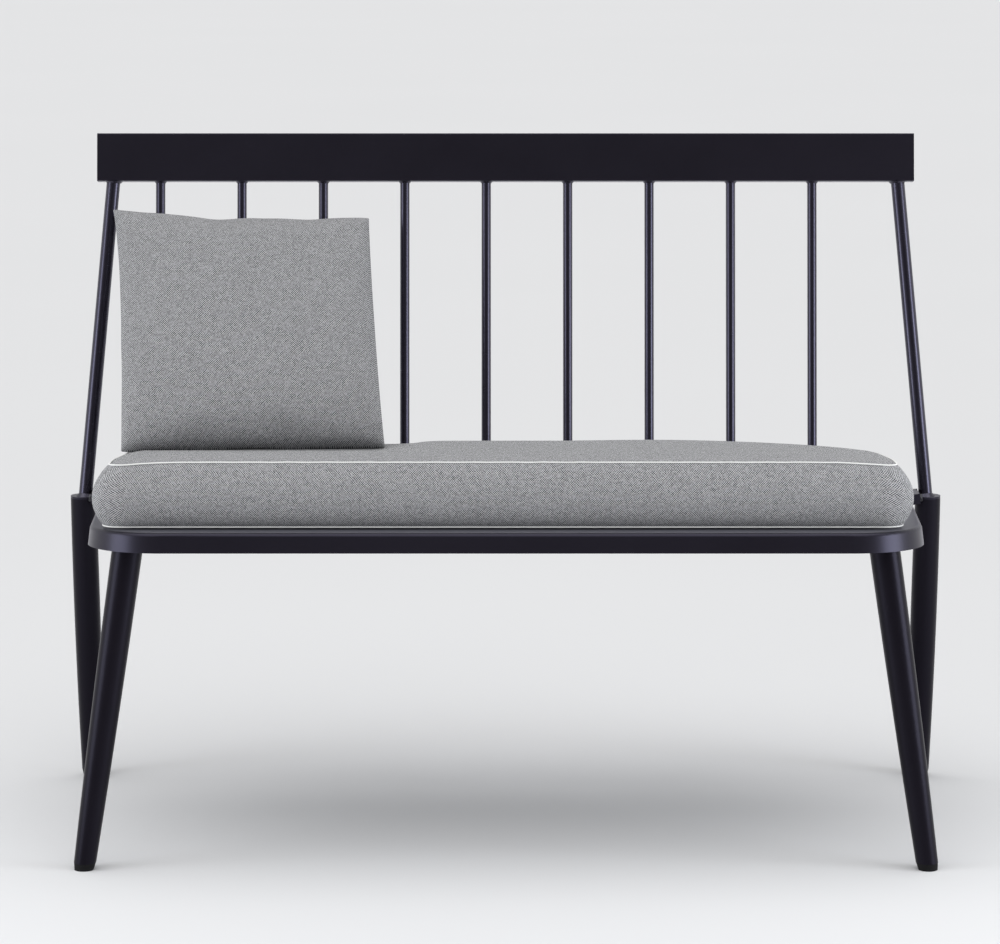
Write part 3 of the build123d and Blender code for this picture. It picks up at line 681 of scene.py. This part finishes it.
class StageSettings(bpy.types.PropertyGroup):
    """Floor, light and camera."""

    floor: FloatVectorProperty(
        name="Floor", description="Colour of the floor", subtype="COLOR", size=3, min=0.0, max=1.0,
        default=(0.62, 0.62, 0.625),
    )
    sky: FloatProperty(
        name="Surround", description="Strength of the even light all round", min=0.0, max=3.0, default=0.3,
    )
    flank: FloatProperty(
        name="Flanks", description="Extra strength of the even light towards the two sides", min=0.0,
        max=3.0, default=0.75,
    )
    sun: FloatProperty(
        name="Top light", description="Strength of the soft light from above", min=0.0, max=10.0,
        default=2.15,
    )
    side: FloatProperty(
        name="Side lights", description="Power of the two soft boxes at the sides", unit="POWER", min=0.0,
        max=1000.0, default=50.0,
    )


# ---------------------------------------------------------------- pieces

def settings(name):
    return getattr(bpy.context.scene, "bench_" + name)


def paint(part):
    """The powder coat of one kind of part, made once: flat for pressed and flat pieces, leg or rod."""
    own = settings("frame")
    known = bpy.data.materials.get(part + "_powder_coat")
    if known:
        return known
    roughness, shine, sheen = {
        "flat": (own.gloss, own.shine, own.sheen),
        "leg": (own.gloss, own.leg_shine, 0.0),
        "rod": (own.rod_gloss, own.rod_shine, 0.0),
    }[part]
    return powder_coat(part + "_powder_coat", own.paint, roughness, own.pebble, shine, sheen)


class BENCH_OT_back(bpy.types.Operator):
    """Paint the crest rail, the posts, the rods and their welds"""

    bl_idname = "bench.back"
    bl_label = "Back"

    def execute(self, context):
        coat(RAIL, paint("flat"))
        coat(RODS, paint("rod"))
        return {"FINISHED"}


class BENCH_OT_seat(bpy.types.Operator):
    """Paint the seat pan and what stiffens it"""

    bl_idname = "bench.seat"
    bl_label = "Seat Pan"

    def execute(self, context):
        coat(SEAT, paint("flat"))
        return {"FINISHED"}


class BENCH_OT_legs(bpy.types.Operator):
    """Paint the four legs, their plates and their brackets"""

    bl_idname = "bench.legs"
    bl_label = "Legs"

    def execute(self, context):
        coat(LEGS, paint("leg"))
        coat(PLATES, paint("flat"))
        return {"FINISHED"}


class BENCH_OT_fasteners(bpy.types.Operator):
    """Finish the bolts and the nuts"""

    bl_idname = "bench.fasteners"
    bl_label = "Fasteners"

    def execute(self, context):
        coat(FASTENERS, blackened_steel("blackened_zinc", settings("frame").steel))
        return {"FINISHED"}


class BENCH_OT_glides(bpy.types.Operator):
    """Finish the glides under the legs"""

    bl_idname = "bench.glides"
    bl_label = "Glides"

    def execute(self, context):
        coat(GLIDES, moulded_plastic("glide_plastic", settings("frame").plastic))
        return {"FINISHED"}


def round_plan(points, half_width, half_depth, radius):
    """Bend the corners of a rectangular grid into quarter circles."""
    made = points.copy()
    x, y = points[:, 0], points[:, 1]
    over_x = np.clip(np.abs(x) - (half_width - radius), 0, None)
    over_y = np.clip(np.abs(y) - (half_depth - radius), 0, None)
    made[:, 0] = np.sign(x) * (np.abs(x) - over_x + over_x * np.sqrt(1 - over_y ** 2 / (2 * radius ** 2)))
    made[:, 1] = np.sign(y) * (np.abs(y) - over_y + over_y * np.sqrt(1 - over_x ** 2 / (2 * radius ** 2)))
    return made


def rim_distance(points, half_width, half_depth, radius):
    """How far points in plan lie inside a rounded rectangle, and which way is out."""
    over = np.abs(points[:, :2]) - (half_width - radius, half_depth - radius)
    reach = np.clip(over, 0, None)
    length = np.linalg.norm(reach, axis=1)
    inside = radius - length - np.minimum(over.max(1), 0)
    outward = np.where(length[:, None] > 1e-9, reach / np.maximum(length, 1e-9)[:, None], 0)
    flat = length < 1e-9
    outward[flat] = np.eye(2)[over[flat].argmax(1)]
    return inside, outward * np.sign(points[:, :2])


def way_round(points, half_width, half_depth, radius):
    """How far round the outline each point lies, from the middle of the back, and the whole way round."""
    straight_x, straight_y = half_width - radius, half_depth - radius
    arc = radius * math.pi / 2
    total = 4 * (straight_x + straight_y + arc)
    x, y = points[:, 0], points[:, 1]
    ax, ay = np.abs(x), np.abs(y)
    angle = np.arctan2(np.clip(ax - straight_x, 0, None), np.clip(ay - straight_y, 1e-12, None))
    down_the_side = np.where(ax >= half_width - 1e-6, straight_y - np.minimum(ay, straight_y), 0)
    quarter = np.minimum(ax, straight_x) + angle * radius + down_the_side
    quarter = np.where((ay < straight_y) & (ax > straight_x), straight_x + arc + straight_y - ay, quarter)
    half = np.where(y >= 0, quarter, total / 2 - quarter)
    return np.where(x >= 0, half, total - half), total


class BENCH_OT_cushion(bpy.types.Operator):
    """Sew and fill the box cushion and lay it on the seat"""

    bl_idname = "bench.cushion"
    bl_label = "Cushion"

    def execute(self, context):
        own = settings("cushion")
        bed = seat_bed()
        solid = bed.local(points_of(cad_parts["cushion_cover"]))
        low, high = solid.min(0), solid.max(0)
        middle = (low + high) / 2
        half_width = (high[0] - low[0]) / 2 - own.top_inset
        half_depth = (high[1] - low[1]) / 2 - own.top_inset
        cells = [2 * int(round(half_width / own.cell)), 2 * int(round(half_depth / own.cell)), 10]
        cushion = gridded_box("box_cushion", (2 * half_width, 2 * half_depth, 1.0), cells)

        # The flat cover: two panels at the seams' heights, and the boxing between them.
        points = points_of(cushion)
        rise = points[:, 2] + 0.5
        points = round_plan(points, half_width, half_depth, own.corner)
        inside, outward = rim_distance(points, half_width, half_depth, own.corner)
        rim = inside < 1e-4
        round_way, total = way_round(points, half_width, half_depth, own.corner)
        backwards = (points[:, 1] / half_depth + 1) / 2
        top = own.front_seam + backwards * (own.rear_seam - own.front_seam)
        corners = np.hypot(half_width - np.abs(points[:, 0]), half_depth - np.abs(points[:, 1]))
        top = top - own.droop * np.exp(-(corners / DROOP_REACH) ** 2)
        points[:, 2] = own.bottom_seam + rise * (top - own.bottom_seam)
        wider = (own.top_inset - own.bottom_inset) * (1 - rise)
        points[:, 0] *= 1 + wider / half_width
        points[:, 1] *= 1 + wider / half_depth
        on_top = rise > 0.999
        on_bottom = rise < 0.001
        round_out = own.bulge * np.where(rim, 4 * rise * (1 - rise), 0)
        points[:, :2] += outward * round_out[:, None]
        set_points(cushion, points)

        # The cloth's own map: flat on the panels, round the outline on the boxing.
        faces = corner_vertices(cushion)
        pairs = points[faces][:, :, :2]
        boxing = ~(on_top[faces].all(1) | on_bottom[faces].all(1))
        lengths = round_way[faces[boxing]]
        wraps = (lengths.max(1) - lengths.min(1)) > total / 2
        lengths[wraps] = np.where(lengths[wraps] < total / 2, lengths[wraps] + total, lengths[wraps])
        pairs[boxing] = np.stack((lengths + 2.0, points[faces[boxing]][:, :, 2]), axis=2)
        weave_map(cushion, pairs)

        # Fill it: the seams and the panel that it rests on are held.
        held = np.where(on_bottom | (on_top & rim), 1.0, 0.0)
        inflate(cushion, CUSHION_PRESSURE, FILL_STEPS, pinned(cushion, held))
        moved = points_of(cushion) - points
        cushion.vertex_groups.clear()
        panel = on_top & ~rim
        sides = rim & ~on_top & ~on_bottom
        shape = points.copy()
        share = np.clip(moved[panel, 2] / moved[panel, 2].max(), 0, 1)
        shape[panel, 2] += own.crown * share ** CROWN_CURVE
        reach = np.linalg.norm(moved[sides], axis=1)
        cap = np.minimum(1.0, own.side_cap / np.maximum(reach, 1e-9))
        shape[sides] += moved[sides] * cap[:, None]

        # The underside rolls up to its seam, and small folds run in from the seams.
        rolled = np.clip(1 - inside[on_bottom] / ROLLED_EDGE, 0, 1) ** 2
        shape[on_bottom, 2] = UNDERSIDE_GAP + (own.bottom_seam - UNDERSIDE_GAP) * rolled
        short, long = FOLD_LENGTHS
        folds = own.pucker * ripple(round_way, short, 1.2) * (1 + ripple(round_way, long, 0.4))
        shape[on_top, 2] += (folds * np.exp(-((inside - FOLD_INSET) / FOLD_WIDTH) ** 2))[on_top]
        near_seam = np.exp(-(((1 - rise) * 0.08 - FOLD_INSET) / FOLD_WIDTH) ** 2)
        shape[sides, :2] += outward[sides] * (folds * near_seam)[sides][:, None]
        shape[:, :2] += middle[:2]
        self.give_way(shape, on_top & ~rim, top, bed, own)
        set_points(cushion, bed.world(shape))
        rims = {"top": np.nonzero(on_top & rim)[0], "bottom": np.nonzero(on_bottom & rim)[0]}
        for place, members in rims.items():
            ordered = members[np.argsort(round_way[members])]
            self.pipe("piping_" + place, "cushion_piping_" + place, points_of(cushion)[ordered], own)
        apply_modifier(cushion, "SUBSURF", levels=1, render_levels=1)
        take(cushion)
        bpy.ops.object.shade_smooth()
        cushion.data.materials.append(tweed("grey_tweed", own.fabric, own.contrast, own.pitch))
        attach(cushion, "cushion")
        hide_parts("cushion_cover", "cushion_foam")
        return {"FINISHED"}

    def give_way(self, shape, panel, seam, bed, own):
        """Press the top down under the pillow, and its crown in front of the pillow's foot."""
        pillow = bpy.data.objects["throw_pillow"]
        tree = BVHTree.FromPolygons(
            bed.local(points_of(pillow)).tolist(), [tuple(face.vertices) for face in pillow.data.polygons]
        )
        members = np.nonzero(panel)[0]
        spots = shape[members]
        depth = np.zeros(len(members))
        for place, (x, y, z) in enumerate(spots):
            hit = tree.ray_cast((x, y, 0.0), (0.0, 0.0, 1.0))[0]
            if hit is not None:
                depth[place] = max(0.0, z - hit.z + CLEARANCE)
        foot = bed.local(points_of(pillow))
        foot = foot[foot[:, 2] < foot[:, 2].min() + FOOT_BAND]
        left, right, front = foot[:, 0].min(), foot[:, 0].max(), foot[:, 1].min()
        beside = np.maximum(left - spots[:, 0], spots[:, 0] - right + 0.01) / own.dent_side
        before = front - spots[:, 1]
        before = before / np.where(before > 0, own.dent, own.dent_side)
        share = np.exp(-(np.clip(beside, 0, None) ** 2 + before ** 2) / 2)
        soft = np.clip(spots[:, 2] - seam[members] - own.pressed, 0, None) * share
        shape[members, 2] -= np.maximum(depth, soft)

    def pipe(self, name, node, path, own):
        """Sew a cord into a seam."""
        line = bpy.data.curves.new(name, "CURVE")
        line.dimensions = "3D"
        spline = line.splines.new("NURBS")
        spline.points.add(len(path) - 1)
        spline.points.foreach_set("co", np.column_stack((path, np.ones(len(path)))).ravel())
        spline.order_u = 4
        spline.use_cyclic_u = True
        spline.resolution_u = 2
        line.resolution_u = 2
        line.bevel_depth = own.cord_radius
        line.bevel_resolution = 3
        cord = bpy.data.objects.new(name, line)
        bpy.context.collection.objects.link(cord)
        take(cord)
        bpy.ops.object.convert(target="MESH")
        cord = bpy.context.object
        bpy.ops.object.shade_smooth()
        cord.data.materials.clear()
        finish = bpy.data.materials.get("white_cotton") or cotton_piping("white_cotton", own.piping)
        cord.data.materials.append(finish)
        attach(cord, "cushion")
        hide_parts(node)


class BENCH_OT_pillow(bpy.types.Operator):
    """Sew and fill the throw pillow and lean it on the rods"""

    bl_idname = "bench.pillow"
    bl_label = "Pillow"

    def execute(self, context):
        own = settings("pillow")
        bed, half = pillow_bed()
        pillow = gridded_box("throw_pillow", (2.0, 2.0, 0.02), (own.cells, own.cells, 1))
        flat = points_of(pillow)
        sheet = flat * (own.width / 2, own.height / 2, 0.2)
        set_points(pillow, sheet)
        faces = corner_vertices(pillow)
        side = np.where(flat[faces][:, :, 2].mean(1) > 0, 1.0, -1.0)
        pairs = sheet[faces][:, :, :2]
        pairs[:, :, 0] = pairs[:, :, 0] * side[:, None] + 3.0 * side[:, None]
        weave_map(pillow, pairs)
        inflate(pillow, own.pressure, FILL_STEPS, tension=40.0, bending=5.0)
        apply_modifier(pillow, "SMOOTH", factor=0.5, iterations=20)
        shape = points_of(pillow)

        # Give the four edges their own pull, row by row and column by column of the grid.
        column = np.rint((flat[:, 0] + 1) / 2 * own.cells).astype(int)
        row = np.rint((flat[:, 1] + 1) / 2 * own.cells).astype(int)
        low_x, high_x = self.edges(shape[:, 0], row, column, own.cells)
        low_y, high_y = self.edges(shape[:, 1], column, row, own.cells)
        share_x = 2 * (shape[:, 0] - low_x[row]) / (high_x - low_x)[row] - 1
        share_y = 2 * (shape[:, 1] - low_y[column]) / (high_y - low_y)[column] - 1
        drawn_x = 1 - np.abs(flat[:, 1]) ** PULL_CURVE
        drawn_y = 1 - np.abs(flat[:, 0]) ** PULL_CURVE
        pull_y = np.where(share_y > 0, own.pull_top, own.pull_bottom)
        share_x = share_x * (1 - 2 * own.pull_side / own.width * drawn_x)
        share_y = share_y * (1 - 2 * pull_y / own.height * drawn_y)
        weights = np.stack((
            (1 - share_x) * (1 + share_y), (1 + share_x) * (1 + share_y),
            (1 - share_x) * (1 - share_y), (1 + share_x) * (1 - share_y),
        ), axis=1) / 4
        shape[:, :2] = weights @ np.array([own.top_left, own.top_right, own.bottom_left, own.bottom_right])
        shape[:, :2] += (weights[:, 0] ** 6)[:, None] * np.array(own.ear)
        plump = np.abs(shape[:, 2]) / np.abs(shape[:, 2]).max()
        even = np.sqrt(np.clip((1 - flat[:, 0] ** 4) * (1 - flat[:, 1] ** 4), 0, 1))
        plump = own.folds * plump ** own.fullness + (1 - own.folds) * even
        shape[:, 2] = np.sign(shape[:, 2]) * half[2] * plump
        set_points(pillow, bed.world(shape))
        apply_modifier(pillow, "SUBSURF", levels=1, render_levels=1)
        take(pillow)
        bpy.ops.object.shade_smooth()
        cushion = settings("cushion")
        pillow.data.materials.append(tweed("pillow_tweed", own.fabric, cushion.contrast, cushion.pitch))
        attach(pillow, "pillow")
        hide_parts("pillow_cover", "pillow_insert")
        return {"FINISHED"}

    def edges(self, values, line, place, last):
        """Where each line of the grid starts and ends."""
        low, high = np.zeros(last + 1), np.zeros(last + 1)
        for number in range(last + 1):
            low[number] = values[(line == number) & (place == 0)].mean()
            high[number] = values[(line == number) & (place == last)].mean()
        return low, high


class BENCH_OT_stage(bpy.types.Operator):
    """Set up the floor, the light and the camera"""

    bl_idname = "bench.stage"
    bl_label = "Stage"

    def execute(self, context):
        own = settings("stage")
        start_clean()
        bpy.ops.mesh.primitive_plane_add(size=80.0)
        floor = bpy.context.object
        floor.name = "floor"
        finish = Finish("pale_floor", Roughness=0.8, Specular_IOR_Level=0.1)
        cloud = finish.noise(finish.place(), 0.7, 2.0)
        pale = (*own.floor, 1.0)
        paler = (own.floor[0] * 1.02, own.floor[1] * 1.02, own.floor[2] * 1.02, 1.0)
        floor.data.materials.append(finish.surface(Base_Color=finish.mix(cloud, pale, paler)))

        self.surround(own)
        self.lamp(
            "top_light", "SUN", (0.0, -2.0, 4.0), (14.0, -4.0, 0.0), energy=own.sun, angle=math.radians(80),
        )
        for name, side, share in (("left_box", -1, 0.7), ("right_box", 1, 1.0)):
            self.lamp(
                name, "AREA", (side * 2.6, -1.3, 0.8), (0.0, side * 90.0, side * 26.0),
                energy=own.side * share, color=(0.9, 0.94, 1.0), shape="RECTANGLE", size=1.3, size_y=2.0,
            )

        data = bpy.data.cameras.new("camera")
        data.lens = LENS
        data.sensor_width = SENSOR
        camera = bpy.data.objects.new("camera", data)
        context.collection.objects.link(camera)
        camera.location = CAMERA_PLACE
        camera.rotation_euler = (math.radians(CAMERA_TILT), 0.0, 0.0)
        context.scene.camera = camera
        context.scene.view_settings.view_transform = "Standard"
        return {"FINISHED"}

    def surround(self, own):
        """Even light all round, a little dimmer in front of the bench than at its sides and over it."""
        world = bpy.data.worlds.new("studio")
        bpy.context.scene.world = world
        studio = Shading(world, "Background", Color=(0.98, 0.99, 1.0, 1.0))
        way = studio.node("ShaderNodeTexCoord")
        side = studio.node("ShaderNodeSeparateXYZ", None, {0: way})
        rise = studio.node(
            "ShaderNodeVectorMath", {"operation": "DOT_PRODUCT"}, {0: way, 1: (0.0, 0.2, 0.16)}, out=1,
        )
        studio.surface(Strength=side * side * own.flank + rise + own.sky)

    def lamp(self, name, kind, location, turn, **values):
        data = bpy.data.lights.new(name, kind)
        for key, value in values.items():
            setattr(data, key, value)
        lamp = bpy.data.objects.new(name, data)
        bpy.context.collection.objects.link(lamp)
        lamp.location = location
        lamp.rotation_euler = [math.radians(angle) for angle in turn]


STEPS = (
    BENCH_OT_back, BENCH_OT_seat, BENCH_OT_legs, BENCH_OT_fasteners, BENCH_OT_glides,
    BENCH_OT_pillow, BENCH_OT_cushion, BENCH_OT_stage,
)
GROUPS = {
    "bench_frame": FrameSettings, "bench_cushion": CushionSettings, "bench_pillow": PillowSettings,
    "bench_stage": StageSettings,
}


class BENCH_PT_panel(bpy.types.Panel):
    """The bench's pieces and their sizes and colours"""

    bl_label = "Bench"
    bl_idname = "BENCH_PT_panel"
    bl_space_type = "VIEW_3D"
    bl_region_type = "UI"
    bl_category = "Bench"

    def draw(self, context):
        for step in STEPS:
            self.layout.operator(step.bl_idname)
        for name, group in GROUPS.items():
            box = self.layout.box()
            for key in group.__annotations__:
                box.prop(getattr(context.scene, name), key)


def register():
    for group in GROUPS.values():
        bpy.utils.register_class(group)
    for name, group in GROUPS.items():
        setattr(bpy.types.Scene, name, PointerProperty(type=group))
    for step in STEPS:
        bpy.utils.register_class(step)
    bpy.utils.register_class(BENCH_PT_panel)


def unregister():
    bpy.utils.unregister_class(BENCH_PT_panel)
    for step in reversed(STEPS):
        bpy.utils.unregister_class(step)
    for name, group in GROUPS.items():
        delattr(bpy.types.Scene, name)
        bpy.utils.unregister_class(group)


def main():
    """Dress the bench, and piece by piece."""
    register()
    for step in STEPS:
        family, name = step.bl_idname.split(".")
        getattr(getattr(bpy.ops, family), name)()


if __name__ == "__main__":
    main()
